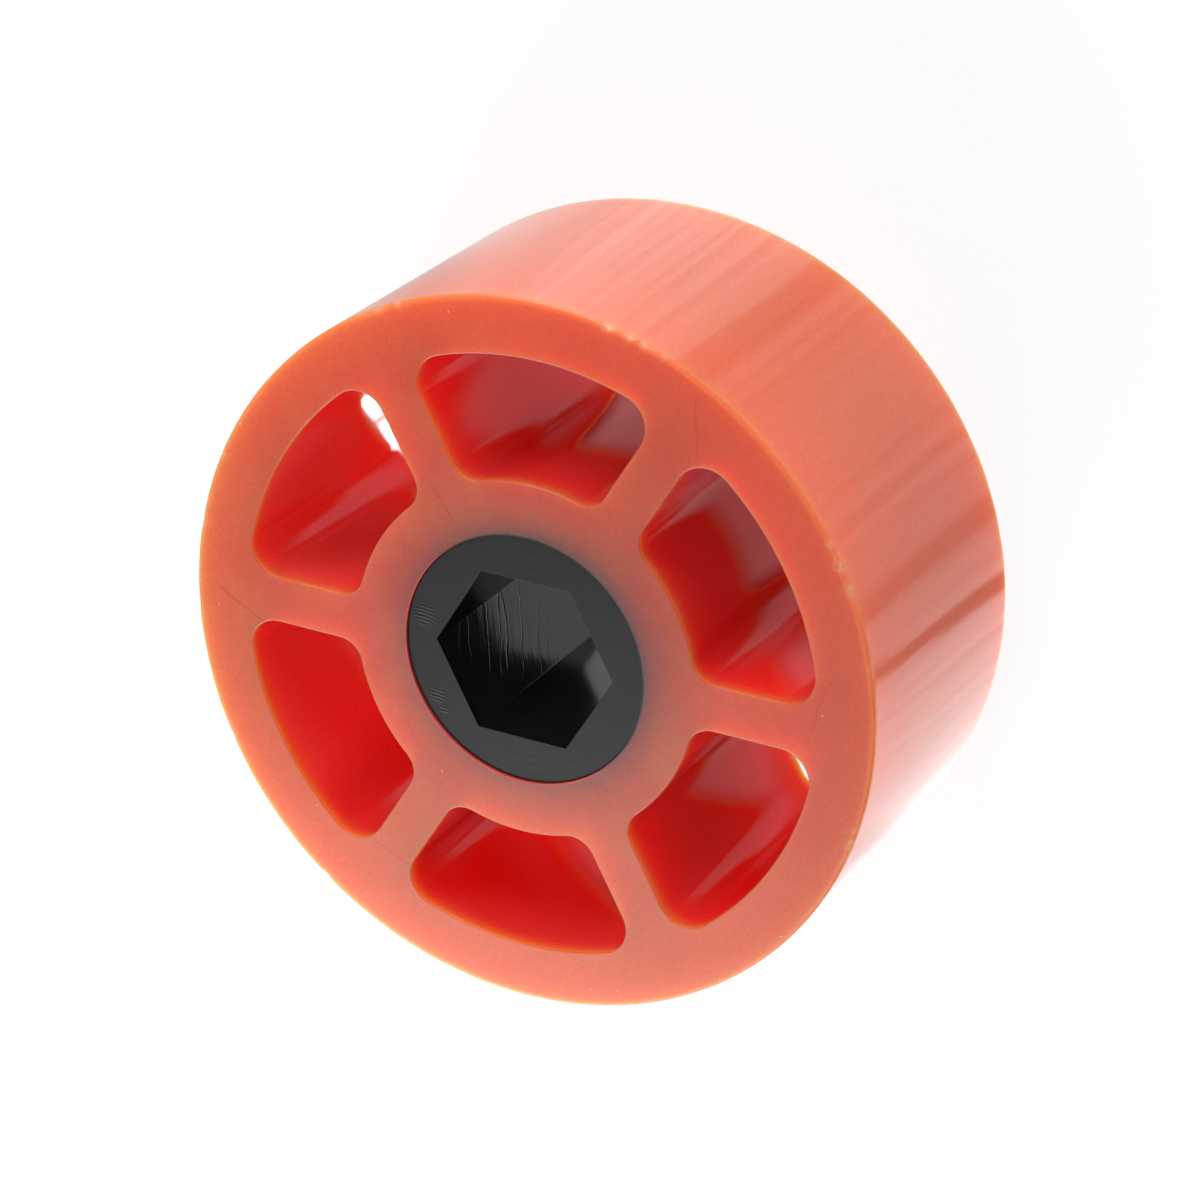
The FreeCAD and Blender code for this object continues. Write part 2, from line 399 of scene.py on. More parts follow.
body_grids = []
upper_borders = sector_border(upper_trim)
lower_borders = sector_border(lower_trim)
for sector, foot in enumerate(BACK_FEET):
    turn = PITCH * (sector + 0.5)
    body_grids.append(turn_about_axle(cell_wall_rows(foot), turn))
    for height, swell, borders in ((BODY_TOP, 0.0, upper_borders), (0.0, foot, lower_borders)):
        lip_loop = turn_about_axle(at_height(cell_outline(CELL_LIP - swell), height), turn)
        body_grids.append(face_rows(lip_loop[:, :2], borders[sector], FACE_SHARES, height))
body_grids += [tread_rows(), seat_rows()]
wheel_body = closed_piece("moulded_wheel_body", body_grids)


def corners_of(piece, what):
    """The x, y and z of a vector that a piece's mesh holds at each corner, as three arrays."""
    values = np.empty(len(piece.data.vertices) * 3)
    piece.data.vertices.foreach_get(what, values)
    return values.reshape(-1, 3).T


def store(piece, name, values):
    """Keeps one number for each corner of a piece's mesh, under a name that its material reads."""
    piece.data.attributes.new(name, "FLOAT", "POINT").data.foreach_set("value", values)


def store_polish(piece):
    """Share of polished mould wall: 1 less five times the upright part of the surface's normal.

    So it is 1 where the surface runs along the axle, and 0 on ends and rounded lips.
    """
    upright = np.abs(corners_of(piece, "normal")[2])
    store(piece, "polish", 1 - np.clip(upright * 5, 0, 1))


def store_torn(piece):
    """Share of torn skin: the nick's depth there times exp(-(distance from the outer edge / reach)^2).

    The flakes on the cells' lips add bells of their own.
    """
    x, y, z = corners_of(piece, "co")
    from_edge = np.maximum(TREAD_RADIUS - np.hypot(x, y), BODY_TOP - z)
    torn = nick_depth(np.arctan2(y, x), UPPER_NICKS) / TORN_DEPTH * np.exp(-((from_edge / TORN_REACH) ** 2))
    for flake_x, flake_y, reach in LIP_FLAKES:
        away = np.hypot(np.hypot(x - flake_x, y - flake_y), z - BODY_TOP)
        torn = np.maximum(torn, np.exp(-((away / reach) ** 2)))
    store(piece, "torn", np.clip(torn, 0, 1))


def store_lip(piece):
    """Mask of a painted shade: nearness to an upper cell lip that leans to the lower left, towards the
    light.

    It is exp(-(d / reach)^2) of the distance d to the lip's outline in plan, times a share that falls
    from 1 to 0 as the outline's normal, which points into the cell, turns from the lower left to the
    upper right: 0.3 less 1.5 times the cosine of its turn from the upper right.
    """
    x, y, z = corners_of(piece, "co")
    near_top = np.flatnonzero(z > BODY_TOP - 2 * CELL_LIP)
    angle = np.arctan2(y[near_top], x[near_top])
    turn = PITCH * (np.floor(angle / PITCH) + 0.5)
    local = polar(np.hypot(x[near_top], y[near_top]), angle - turn)
    loop = cell_outline(CELL_LIP / 2)
    distance = np.linalg.norm(local[:, None] - loop[None], axis=2)
    nearest = distance.argmin(1)
    tangent = np.roll(loop, -1, 0) - np.roll(loop, 1, 0)
    facing = np.arctan2(tangent[:, 0], -tangent[:, 1])[nearest] + turn
    side = np.clip(0.3 - 1.5 * np.cos(facing - VIEW_TURN), 0, 1)
    lip = np.zeros(len(z))
    lip[near_top] = side * np.exp(-((distance.min(1) / LIP_REACH) ** 2))
    store(piece, "lip", lip)


def material_of(piece, name):
    """A new node material on a piece; returns its node tree and its shader."""
    material = bpy.data.materials.new(name)
    material.use_nodes = True
    piece.data.materials.append(material)
    return material.node_tree, material.node_tree.nodes["Principled BSDF"]


def stored(tree, name):
    """A value stored at the corners of a piece's mesh."""
    attribute = tree.nodes.new("ShaderNodeAttribute")
    attribute.attribute_name = name
    return attribute.outputs["Fac"]


def read_polish(tree, satin, polished):
    """The polish turned into a roughness, from that of the satin ends to that of the polished walls."""
    spread = tree.nodes.new("ShaderNodeMapRange")
    spread.inputs["To Min"].default_value = satin
    spread.inputs["To Max"].default_value = polished
    tree.links.new(stored(tree, "polish"), spread.inputs["Value"])
    return spread.outputs["Result"]


def maths(tree, operation, *values):
    """One Math node; each of its inputs is a number or another node's output."""
    node = tree.nodes.new("ShaderNodeMath")
    node.operation = operation
    for socket, value in zip(node.inputs, values):
        if isinstance(value, (int, float)):
            socket.default_value = value
        else:
            tree.links.new(value, socket)
    return node.outputs[0]


def product(tree, first, *others):
    """Numbers and outputs multiplied together."""
    for other in others:
        first = maths(tree, "MULTIPLY", first, other)
    return first


def sloped(tree, value, slope, level):
    """A straight line: the value times a slope, plus a level."""
    return maths(tree, "MULTIPLY_ADD", value, slope, level)


def vector_maths(tree, operation, *values):
    """One Vector Math node; each of its inputs is a fixed vector or another node's output."""
    node = tree.nodes.new("ShaderNodeVectorMath")
    node.operation = operation
    for socket, value in zip(node.inputs, values):
        if isinstance(value, tuple):
            socket.default_value = value
        else:
            tree.links.new(value, socket)
    return node.outputs["Value" if operation in ("DOT_PRODUCT", "DISTANCE") else "Vector"]


def towards(tree, place, side):
    """How far a place lies towards a side: its dot product with that direction."""
    return vector_maths(tree, "DOT_PRODUCT", place, side)


def fade(tree, value, start, stop):
    """A smooth step from 1 where a value is at start or before, to 0 at stop and beyond."""
    node = tree.nodes.new("ShaderNodeMapRange")
    node.interpolation_type = "SMOOTHSTEP"
    for name, number in (("From Min", start), ("From Max", stop), ("To Min", 1), ("To Max", 0)):
        node.inputs[name].default_value = number
    tree.links.new(value, node.inputs["Value"])
    return node.outputs["Result"]


def falloff(tree, distance, reach):
    """1 at a surface and less away from it: exp(-distance / reach)."""
    return maths(tree, "EXPONENT", maths(tree, "MULTIPLY", distance, -1 / reach))


def blend(tree, factor, first, second):
    """One Mix node for colours, from the first to the second as the factor goes from 0 to 1."""
    node = tree.nodes.new("ShaderNodeMix")
    node.data_type = "RGBA"
    tree.links.new(factor, node.inputs["Factor"])
    for socket, value in ((node.inputs["A"], first), (node.inputs["B"], second)):
        if isinstance(value, tuple):
            socket.default_value = (*value, 1)
        else:
            tree.links.new(value, socket)
    return node.outputs["Result"]


def clouds(tree, place, size, detail):
    """A noise of about the given feature size: its Fac is 0 to 1, and its Color three such values."""
    node = tree.nodes.new("ShaderNodeTexNoise")
    node.inputs["Scale"].default_value = 1 / size
    node.inputs["Detail"].default_value = detail
    tree.links.new(place, node.inputs["Vector"])
    return node.outputs


def relief(tree, shader, height, depth):
    """A bump of the given depth on a shader, from a height of 0 to 1."""
    bump = tree.nodes.new("ShaderNodeBump")
    bump.inputs["Distance"].default_value = depth
    tree.links.new(height, bump.inputs["Height"])
    tree.links.new(bump.outputs["Normal"], shader.inputs["Normal"])


def straight_band(tree, place, x, y, direction, length, half_width):
    """A soft-edged straight band seen along the axle: its start, its direction in degrees and its length.

    It is 1 on its middle line and fades across its half width and at its two ends.
    """
    turn = math.radians(direction)
    along = (math.cos(turn), math.sin(turn), 0)
    across = (-math.sin(turn), math.cos(turn), 0)
    start_along = float(np.dot(along, (x, y, 0)))
    start_across = float(np.dot(across, (x, y, 0)))
    run = maths(tree, "SUBTRACT", towards(tree, place, along), start_along)
    off = maths(tree, "SUBTRACT", towards(tree, place, across), start_across)
    beside = fade(tree, maths(tree, "ABSOLUTE", off), half_width / 3, half_width)
    from_middle = maths(tree, "ABSOLUTE", maths(tree, "SUBTRACT", run, length / 2))
    within = fade(tree, from_middle, length / 2 - half_width, length / 2 + half_width)
    return product(tree, beside, within)


store_polish(wheel_body)
store_torn(wheel_body)
store_lip(wheel_body)
tree, elastomer = material_of(wheel_body, "orange_elastomer")
place = tree.nodes.new("ShaderNodeTexCoord").outputs["Object"]
split = tree.nodes.new("ShaderNodeSeparateXYZ")
tree.links.new(place, split.inputs[0])
height = split.outputs["Z"]
from_axle = vector_maths(tree, "DISTANCE", vector_maths(tree, "MULTIPLY", place, (1, 1, 0)), (0, 0, 0))
from_rim = maths(tree, "SUBTRACT", TREAD_RADIUS, from_axle)
from_hub = maths(tree, "SUBTRACT", from_axle, SEAT_RADIUS)
from_top = maths(tree, "SUBTRACT", BODY_TOP, height)
from_end = maths(tree, "MINIMUM", height, from_top)
on_top = fade(tree, from_top, *TOP_FADE)
inside = product(tree, fade(tree, from_end, CELL_GLOW, 0), fade(tree, from_rim, *CELL_WALL_FADE))

# End faces and tread: a mottled tone, with painted warm light low down, a painted glow by the rim that is
# peachier on the lower left, and painted shade at the right; a brighter colour over the tread.
mottle = clouds(tree, place, MOTTLE_SIZE, 2)
colour = blend(tree, fade(tree, mottle["Fac"], *MOTTLE_FADE), FACE_COLOUR, FACE_TINT)
lowward = towards(tree, place, LOW_SIDE)
colour = blend(tree, product(tree, fade(tree, lowward, *LOW_FADE), LOW_SHARE), colour, LOW_PAINTED_LIGHT)
rightward = towards(tree, place, RIGHT_SIDE)
colour = blend(tree, product(tree, fade(tree, rightward, *RIGHT_FADE), RIGHT_SHARE), colour, RIGHT_PAINTED_SHADE)
sideways = towards(tree, place, LIGHT_SIDE)
lower_left = sloped(tree, sideways, *LIGHT_LINE)
rim_glow = blend(tree, lower_left, RIM_PAINTED_GLOW, PEACH_PAINTED_GLOW)
rim_glow_share = product(tree, falloff(tree, from_rim, RIM_GLOW_REACH), RIM_GLOW_SHARE)
colour = blend(tree, rim_glow_share, colour, rim_glow)
colour = blend(tree, fade(tree, from_rim, *TREAD_FADE), colour, TREAD_COLOUR)

# Cells: away from the ends the walls take a deep red. Painted shade darkens them where less light comes
# through the body: towards the lower left, low down and at the right. Painted light brightens them on the
# left and near the lower end.
cell_colour_and_light = blend(tree, lower_left, CELL_COLOUR, CELL_PAINTED_SHADE)
leftward = towards(tree, place, LEFT_SIDE)
cell_colour_and_light = blend(tree, fade(tree, leftward, *CELL_LEFT_FADE), cell_colour_and_light, CELL_LEFT_PAINTED_LIGHT)
cell_colour_and_light = blend(tree, fade(tree, lowward, *CELL_LOW_FADE), cell_colour_and_light, CELL_LOW_PAINTED_SHADE)
cell_colour_and_light = blend(tree, fade(tree, height, *CELL_DEEP_FADE), cell_colour_and_light, CELL_DEEP_PAINTED_LIGHT)
cell_colour_and_light = blend(tree, fade(tree, rightward, *CELL_RIGHT_FADE), cell_colour_and_light, CELL_RIGHT_PAINTED_SHADE)
colour = blend(tree, inside, colour, cell_colour_and_light)

# Round the hub: a painted shade darkens the elastomer, most on the upper right. At the seam a fine line of
# painted shadow runs on the upper right, and of painted shade, a dull red, on the lower left.
shade = falloff(tree, from_hub, HUB_SHADE_REACH)
hub_shade_side = sloped(tree, towards(tree, place, SHADE_SIDE), *SHADE_LINE)
colour = blend(tree, product(tree, shade, hub_shade_side), colour, HUB_PAINTED_SHADE)
seam = fade(tree, from_hub, *SEAM_FADE)
seam_shadow_side = fade(tree, towards(tree, place, SEAM_SHADOW_SIDE), *SEAM_SHADOW_SIDE_FADE)
colour = blend(tree, seam, colour, blend(tree, seam_shadow_side, SEAT_PAINTED_SHADE, SEAM_PAINTED_SHADOW))

# Cell lips and outer edges: a painted glow, as light comes through them where they are thin. The outer
# edges glow more on the lower left, where the light comes from.
lip = maths(tree, "MAXIMUM", falloff(tree, from_top, LIP_GLOW), falloff(tree, height, BACK_LIP_GLOW))
lip = product(tree, lip, stored(tree, "polish"), fade(tree, from_hub, *CORE_LIP_FADE))
colour = blend(tree, product(tree, lip, LIP_SHARE), colour, LIP_PAINTED_GLOW)
# Lips that face the light take a duller tone, a painted shade that holds back a bright line on them.
colour = blend(tree, stored(tree, "lip"), colour, LIT_LIP_PAINTED_SHADE)
edge = falloff(tree, maths(tree, "MAXIMUM", from_rim, from_end), EDGE_GLOW)
edge = product(tree, edge, sloped(tree, sideways, *EDGE_LINE))
colour = blend(tree, edge, colour, EDGE_PAINTED_GLOW)

# Knit lines where the flow met in the mould, pale specks, torn nicks and a fine grain.
back = vector_maths(tree, "SUBTRACT", place, (KNIT_BOW / 2, KNIT_BOW / 2, 0))
bowed = vector_maths(tree, "MULTIPLY_ADD", mottle["Color"], (KNIT_BOW, KNIT_BOW, 0), back)
knit = 0.0
for x, y, direction, length in KNIT_LINES:
    knit = maths(tree, "MAXIMUM", straight_band(tree, bowed, x, y, direction, length, KNIT_HALF_WIDTH), knit)
colour = blend(tree, product(tree, knit, on_top, KNIT_SHARE), colour, KNIT_COLOUR)
specks = tree.nodes.new("ShaderNodeTexVoronoi")
specks.voronoi_dimensions = "2D"
specks.inputs["Scale"].default_value = SPECKS_PER_METRE
tree.links.new(place, specks.inputs["Vector"])
near_speck = fade(tree, specks.outputs["Distance"], *SPECK_FADE)
draw = towards(tree, specks.outputs["Color"], (1, 0, 0))
kept_speck = maths(tree, "GREATER_THAN", draw, SPECKS_LEFT_OUT)
colour = blend(tree, product(tree, near_speck, kept_speck, on_top), colour, SPECK_COLOUR)
colour = blend(tree, stored(tree, "torn"), colour, TORN_COLOUR)
grain = clouds(tree, place, GRAIN_SIZE, 1)["Fac"]
grained = tree.nodes.new("ShaderNodeHueSaturation")
tree.links.new(sloped(tree, grain, *GRAIN_TONE), grained.inputs["Value"])
tree.links.new(colour, grained.inputs["Color"])
tree.links.new(grained.outputs["Color"], elastomer.inputs["Base Color"])

# Finish: satin ends, polished walls and flow streaks along the axle. No subsurface glow on lit lips or seam.
elastomer.inputs["Specular IOR Level"].default_value = ELASTOMER_GLOSS
elastomer.inputs["Subsurface Radius"].default_value = GLOW_DEPTHS
elastomer.inputs["Subsurface Scale"].default_value = GLOW_DEPTH_SCALE
glow_off = maths(tree, "MAXIMUM", stored(tree, "lip"), seam)
tree.links.new(maths(tree, "SUBTRACT", 1, glow_off), elastomer.inputs["Subsurface Weight"])
tree.links.new(read_polish(tree, SATIN, POLISHED), elastomer.inputs["Roughness"])
grain_depth = sloped(tree, stored(tree, "polish"), *GRAIN_DEPTH)
streak_depth = sloped(tree, on_top, -STREAK_LOSS_ON_TOP, sloped(tree, inside, -STREAK_LOSS_INSIDE, 1))
streaks = clouds(tree, vector_maths(tree, "MULTIPLY", place, STREAK_STRETCH), STREAK_WIDTH, 1)["Fac"]
streaks_and_grain = sloped(tree, grain, grain_depth, product(tree, streaks, streak_depth))
relief(tree, elastomer, streaks_and_grain, ELASTOMER_RELIEF)

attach(wheel_body, "root")
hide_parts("wheel_body")

# Hub: a hard black plastic moulding with a hexagonal bore for the shaft. The elastomer is bonded to its
# outside, and its end faces lie a little below the wheel body's.

SIDES = 6
HEX_HALF = 0.00645
HEX_CORNER = 0.00004
HEX_MOUTH = 0.00002
HUB_EDGE = 0.00008
HUB_GAP = 0.00001
FLAT_STEPS, HEX_CORNER_STEPS = 14, 4
HUB_ROWS = 8
HUB_END_ROW = 0.0004
HUB_SHARES = (0, 0.005, 0.03, 0.1, 0.3, 0.6, 0.85, 0.96, 0.995, 1)
HUB_COLOUR, HUB_PALE = (0.0030, 0.0030, 0.0034), (0.0056, 0.0056, 0.0061)
HUB_GLOSS = 0.36
HUB_SATIN, HUB_POLISHED = 0.36, 0.12
HUB_RELIEF = 0.000025
SMUDGE_SIZE = 0.003
SMUDGE_ROUGHNESS = 0.10
FLAT_ALONG, FLAT_ACROSS = (0.5, -0.866, 0), (0.866, 0.5, 0)
WORN_FADE = (-HEX_HALF + 0.00003, -HEX_HALF + 0.00015)
MARK_TILT = 0.715
MARK_BOW = 0.0014
MARK_MIDDLE = (-0.0062, -0.0022, 0.0159)
MARK_FADE = (0.0025, 0.0065)
MARK_LINE = (0.8, 0.2)
MARK_STRETCH = 0.14
LINE_SIZE = 0.0009
LINE_DEPTH = 0.75
CRACK_SPACING = 0.0026
CRACK_FADE = (0.003, 0.022)
CRACK_DEPTH = -0.6
TURNING_PITCH = 0.0007
TURNING_WANDER = 2.0
TURNING_DEPTH = 0.05
CHATTER = (
    # x and y of the middle, reach
    (-0.0084, 0.0017, 0.0013),
    (-0.0073, -0.0047, 0.0009),
    (-0.0067, -0.0058, 0.0006),
)
CHATTER_PITCH = 0.00030
CHATTER_WANDER = 3.0
CHATTER_WANDER_SCALE = 2.0
CHATTER_DEPTH = 0.42
CHATTER_SWING_X, CHATTER_SWING_Y = 0.0005, 0.0045


def hexagon_outline(grow):
    """The bore's section, grown by a distance into the hub: six flats joined by small arcs, a corner on +X.

    Half a side, from a corner's middle to a flat's middle, is worked out as lengths and angles. Its mirror
    image completes the side, and the side is turned six times.
    """
    half_turn = math.pi / SIDES
    centre = (HEX_HALF - HEX_CORNER) / math.cos(half_turn)
    arc_turns = np.linspace(0, half_turn, HEX_CORNER_STEPS + 1)
    arc = np.array([centre, 0]) + polar(HEX_CORNER + grow, arc_turns)
    middle = polar(HEX_HALF + grow, half_turn)
    along = steps(0, 1, FLAT_STEPS)[:, None]
    half = np.concatenate([arc, arc[-1] * (1 - along) + middle * along])
    length = np.hypot(half[:, 0], half[:, 1])
    angle = np.arctan2(half[:, 1], half[:, 0])
    length = np.concatenate([length, length[-2:0:-1]])
    angle = np.concatenate([angle, 2 * half_turn - angle[-2:0:-1]])
    turns = np.arange(SIDES)[:, None] * 2 * half_turn
    return polar(np.tile(length, SIDES), (angle + turns).ravel())


def hub_grids():
    """Both end faces between the hexagon and the rim, the bore with its rounded mouths, and the outside.

    The lower mouth and edge mirror the upper ones about half height.
    """
    top, bottom = hub_high.z, hub_low.z
    rim = SEAT_RADIUS - HUB_GAP
    loop = hexagon_outline(HEX_MOUTH)
    angle = np.arctan2(loop[:, 1], loop[:, 0])
    heights = np.linspace(top - HUB_END_ROW, bottom + HUB_END_ROW, HUB_ROWS)
    mirror, lift = [1, 1, -1], [0, 0, top + bottom]
    mouth = [at_height(hexagon_outline(HEX_MOUTH * (1 - math.sin(a))), top - HEX_MOUTH * (1 - math.cos(a)))
             for a in QUARTER_ROUND]
    flats = [at_height(hexagon_outline(0), z) for z in heights]
    bore = mouth + flats + [row * mirror + lift for row in mouth[::-1]]
    edge = [at_height(polar(rim - HUB_EDGE * (1 - math.sin(a)), angle), top - HUB_EDGE * (1 - math.cos(a)))
            for a in QUARTER_ROUND]
    side = [at_height(polar(rim, angle), z) for z in heights]
    outside = edge + side + [row * mirror + lift for row in edge[::-1]]
    border = polar(rim - HUB_EDGE, angle)
    faces = [face_rows(loop, border, HUB_SHARES, z) for z in (top, bottom)]
    return [np.stack(bore), np.stack(outside), *faces]


def rings(tree, place, pitch, wander):
    """A wave node of rings about the axle's direction, whose Fac is 0 to 1.

    Its scale is tau / 20 over the pitch, because a wave has 20 / tau rings to the unit at a scale of 1.
    """
    node = tree.nodes.new("ShaderNodeTexWave")
    node.wave_type = "RINGS"
    node.rings_direction = "Z"
    node.inputs["Scale"].default_value = math.tau / 20 / pitch
    node.inputs["Distortion"].default_value = wander
    tree.links.new(place, node.inputs["Vector"])
    return node


hub = closed_piece("moulded_hub", hub_grids())
store_polish(hub)
tree, plastic = material_of(hub, "black_plastic")
place = tree.nodes.new("ShaderNodeTexCoord").outputs["Object"]
plastic.inputs["Specular IOR Level"].default_value = HUB_GLOSS
smudge = clouds(tree, place, SMUDGE_SIZE, 3)["Fac"]
tree.links.new(blend(tree, smudge, HUB_COLOUR, HUB_PALE), plastic.inputs["Base Color"])
smudge_off = maths(tree, "SUBTRACT", smudge, 0.5)
roughness = sloped(tree, smudge_off, SMUDGE_ROUGHNESS, read_polish(tree, HUB_SATIN, HUB_POLISHED))
tree.links.new(roughness, plastic.inputs["Roughness"])

# Worn marks on one flat of the bore: fine lines and a few cracks, where shafts were pushed through.
along = towards(tree, place, FLAT_ALONG)
across = towards(tree, place, FLAT_ACROSS)
level = sloped(tree, along, -MARK_TILT, towards(tree, place, (0, 0, 1)))
on_flat = tree.nodes.new("ShaderNodeCombineXYZ")
tree.links.new(product(tree, along, MARK_STRETCH), on_flat.inputs["X"])
tree.links.new(sloped(tree, smudge, MARK_BOW, level), on_flat.inputs["Y"])
flat_place = on_flat.outputs["Vector"]
near_marks = fade(tree, vector_maths(tree, "DISTANCE", place, MARK_MIDDLE), *MARK_FADE)
on_worn_flat = product(tree, fade(tree, across, *WORN_FADE), stored(tree, "polish"))
worn = product(tree, on_worn_flat, sloped(tree, near_marks, *MARK_LINE))
lines = product(tree, clouds(tree, flat_place, LINE_SIZE, 3)["Fac"], LINE_DEPTH)
crack = maths(tree, "SUBTRACT", clouds(tree, flat_place, CRACK_SPACING, 1)["Fac"], 0.5)
cracks = fade(tree, maths(tree, "ABSOLUTE", crack), *CRACK_FADE)
marks = product(tree, worn, sloped(tree, cracks, CRACK_DEPTH, lines))

# Turning marks on the end faces, and patches of chatter.
on_face = sloped(tree, stored(tree, "polish"), -TURNING_DEPTH, TURNING_DEPTH)
turning = rings(tree, place, TURNING_PITCH, TURNING_WANDER)
marks = sloped(tree, turning.outputs["Fac"], on_face, marks)
for x, y, reach in CHATTER:
    shifted = vector_maths(tree, "SUBTRACT", place, (x - CHATTER_SWING_X, y - CHATTER_SWING_Y, 0))
    chatter = rings(tree, shifted, CHATTER_PITCH, CHATTER_WANDER)
    chatter.inputs["Detail Scale"].default_value = CHATTER_WANDER_SCALE
    near = fade(tree, vector_maths(tree, "DISTANCE", place, (x, y, hub_high.z)), reach / 3, reach)
    marks = sloped(tree, product(tree, near, chatter.outputs["Fac"]), CHATTER_DEPTH, marks)
relief(tree, plastic, marks, HUB_RELIEF)

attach(hub, "root")
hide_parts("hex_hub")

# Floor: a plain white table top that the wheel lies on. It shows white to the camera, with part of the
# shadow that falls on it. The table glows softly under the wheel. To mirrors only, it shows a painted glow
# and a painted pool of light under the wheel, and painted bright and dark bands round it, which the
# polished tread and bores show as painted reflections.

FLOOR_HALF = 3.0
FLOOR_DROP = 0.00002
TABLE_GREY = (0.86, 0.86, 0.86, 1)
TABLE_ROUGHNESS = 0.9
WHITE_SHARE = 0.85
WHITE = 1.05
PAINTED_REFLECTION_WHITE = 1.0
# Painted glow on the floor under the cells and the bore, which only mirrors see.
CELL_GLOW_WHITE = 0.52
CELL_GLOW_FADE = (0.0028, 0.0056)
SPOKE_SHADE_FADE = (math.radians(15), math.radians(5))
BORE_GLOW_WHITE = 1.0
BORE_GLOW_FADE = (0.008, 0.012)
BORE_GLOW_LINE = (0.5, 0.5)
BACK_LIGHT = 0.85
BACK_LIGHT_RADIUS = TREAD_RADIUS + 0.001
GLOW_RADIUS = TREAD_RADIUS - RIM_WALL / 2
CELL_MIDDLE = (TREAD_RADIUS - RIM_WALL + SEAT_RADIUS + CORE_WALL) / 2
# A painted pool of light on the floor under one cell, which only mirrors see.
LIT_PATCH = (-0.02215, 0.0029, 0)
LIT_PATCH_RADIUS = 0.00087
LIT_PATCH_FADE = (0.95 * LIT_PATCH_RADIUS, LIT_PATCH_RADIUS)
LIT_PATCH_SIDE = (0.988, 0.156, 0)
LIT_PATCH_END = -0.02091
PAINTED_POOL_WHITE = 9.0
# Painted reflections round the wheel: a loss above nought darkens a band, and one below nought brightens it.
PAINTED_REFLECTION_GAPS = (
    # place round the wheel in degrees, half width in degrees, share of white lost, lean
    (6.95, 2.4, 0.68, 0.10),
    (19.3, 3.5, 0.40, 0),
    (54.5, 2.8, 0.15, 0),
    (64.0, 4.5, 0.38, 0),
    (162.0, 60.0, 0.36, 0),
    (-16.0, 36.0, -0.66, 0),
    (-70.0, 36.0, -0.33, 0),
    (82.0, 22.0, -0.55, 0),
)
PAINTED_REFLECTION_STREAKS = 26
PAINTED_STREAK_SHARE = 0.6
PAINTED_STREAK_START = (math.radians(-6), math.radians(-18))
PAINTED_STREAK_STOP = (math.radians(98), math.radians(108))

floor_mesh = bpy.data.meshes.new("floor")
corners = np.array([(-1, -1, 0), (1, -1, 0), (1, 1, 0), (-1, 1, 0)]) * FLOOR_HALF
floor_mesh.from_pydata(corners - [0, 0, FLOOR_DROP], [], [(0, 1, 2, 3)])
floor = bpy.data.objects.new("floor", floor_mesh)
bpy.context.scene.collection.objects.link(floor)
tree, table_top = material_of(floor, "white_table_top")
table_top.inputs["Base Color"].default_value = TABLE_GREY
table_top.inputs["Roughness"].default_value = TABLE_ROUGHNESS
table_top.inputs["Specular IOR Level"].default_value = 0.0
place = tree.nodes.new("ShaderNodeTexCoord").outputs["Object"]
path = tree.nodes.new("ShaderNodeLightPath").outputs
# 1 for a ray that has met one mirror only.
once = maths(tree, "LESS_THAN", path["Glossy Depth"], 1.5)
from_axle = vector_maths(tree, "DISTANCE", place, (0, 0, 0))
split = tree.nodes.new("ShaderNodeSeparateXYZ")
tree.links.new(place, split.inputs[0])
angle = maths(tree, "ARCTAN2", split.outputs["Y"], split.outputs["X"])

# Under the wheel, for mirrors only: a painted glow below each cell and below the bore, and a painted pool
# of light that one cell's wall mirrors.
from_middle = maths(tree, "ABSOLUTE", maths(tree, "SUBTRACT", from_axle, CELL_MIDDLE))
from_spoke = maths(tree, "PINGPONG", angle, HALF_PITCH)
below_cell = fade(tree, from_middle, *CELL_GLOW_FADE)
cell_glow = product(tree, below_cell, fade(tree, from_spoke, *SPOKE_SHADE_FADE))
bore_glow = product(tree, fade(tree, from_axle, *BORE_GLOW_FADE), sloped(tree, once, *BORE_GLOW_LINE))
glow = sloped(tree, bore_glow, BORE_GLOW_WHITE, product(tree, cell_glow, CELL_GLOW_WHITE))
from_patch = vector_maths(tree, "DISTANCE", place, LIT_PATCH)
patch = fade(tree, from_patch, *LIT_PATCH_FADE)
patch_side = maths(tree, "LESS_THAN", towards(tree, place, LIT_PATCH_SIDE), LIT_PATCH_END)
below = sloped(tree, product(tree, patch, patch_side, once), PAINTED_POOL_WHITE, glow)

# Round the wheel: painted bright and dark bands and faint streaks, placed by the angle at which the tread
# mirrors them, so that it shows them as painted reflections.
beyond = maths(tree, "SUBTRACT", 1, maths(tree, "DIVIDE", TREAD_RADIUS, from_axle))
double = sloped(tree, angle, 2, -2 * VIEW_TURN)
spread = sloped(tree, beyond, 2, maths(tree, "ADD", maths(tree, "COSINE", double), 1))
slant = maths(tree, "DIVIDE", product(tree, beyond, maths(tree, "SINE", double)), spread)
mirrored_angle = maths(tree, "SUBTRACT", angle, slant)
painted_reflection = PAINTED_REFLECTION_WHITE
for middle, half_width, loss, lean in PAINTED_REFLECTION_GAPS:
    leaning = sloped(tree, beyond, -lean, mirrored_angle)
    off = maths(tree, "ABSOLUTE", maths(tree, "SUBTRACT", leaning, math.radians(middle)))
    gap = product(tree, fade(tree, off, math.radians(half_width) / 3, math.radians(half_width)), loss)
    painted_reflection = product(tree, maths(tree, "SUBTRACT", 1, gap), painted_reflection)
fan = tree.nodes.new("ShaderNodeTexNoise")
fan.noise_dimensions = "1D"
fan.inputs["Scale"].default_value = PAINTED_REFLECTION_STREAKS
fan.inputs["Detail"].default_value = 3
tree.links.new(mirrored_angle, fan.inputs["W"])
streak_start = fade(tree, mirrored_angle, *PAINTED_STREAK_START)
streak_stop = fade(tree, mirrored_angle, *PAINTED_STREAK_STOP)
streaky = product(tree, streak_start, streak_stop)
uneven = product(tree, maths(tree, "SUBTRACT", fan.outputs["Fac"], 0.5), streaky)
